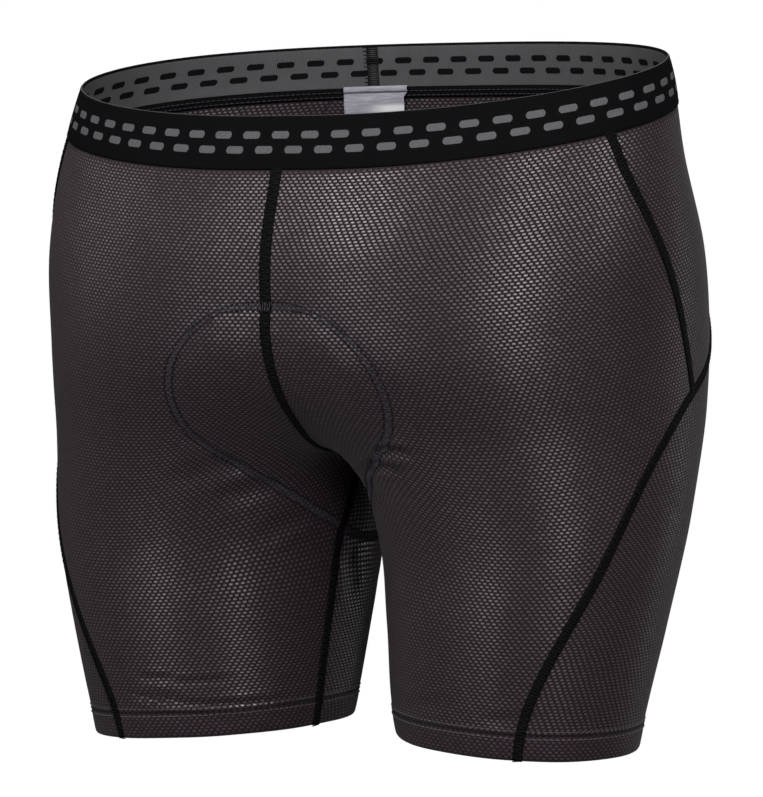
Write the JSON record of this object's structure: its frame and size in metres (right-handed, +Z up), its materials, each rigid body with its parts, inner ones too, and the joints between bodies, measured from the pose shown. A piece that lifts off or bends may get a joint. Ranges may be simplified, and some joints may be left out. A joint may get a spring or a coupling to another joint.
{
  "type": "padded under-shorts",
  "caption": "Close-fitting dark mesh-knit under-shorts, filled out with no wearer, with an elastic waistband, flat dark seams, turned hems and a sewn-in seat pad.",
  "frame": {"origin": "middle of the waist opening, level with the mean height of the band's top edge", "axes": "+Z up towards the wearer's waist, -Y to the front, +X to the wearer's left"},
  "size_m": [0.378, 0.2649, 0.3799],
  "materials": {
    "knit": "dark warm grey open mesh knit with a soft sheen and small pale flecks",
    "elastic_band": "black woven elastic, matt, grey on the inner face",
    "seam": "black flat covering stitch, matt",
    "pad": "brushed dark grey knit over moulded foam",
    "label": "pale grey satin ribbon"
  },
  "bodies": {
    "root": {"waistband_left": "elastic_band", "waistband_right": "elastic_band", "front_left": "knit", "front_right": "knit", "side_left": "knit", "side_right": "knit", "back_left": "knit", "back_right": "knit", "hem_left": "knit", "hem_right": "knit", "seat_pad": "pad", "label": "label", "seam_centre": "seam", "seam_inseam_left": "seam", "seam_inseam_right": "seam", "seam_front_side_left": "seam", "seam_front_side_right": "seam", "seam_slant_left": "seam", "seam_slant_right": "seam"}
  },
  "joints": []
}
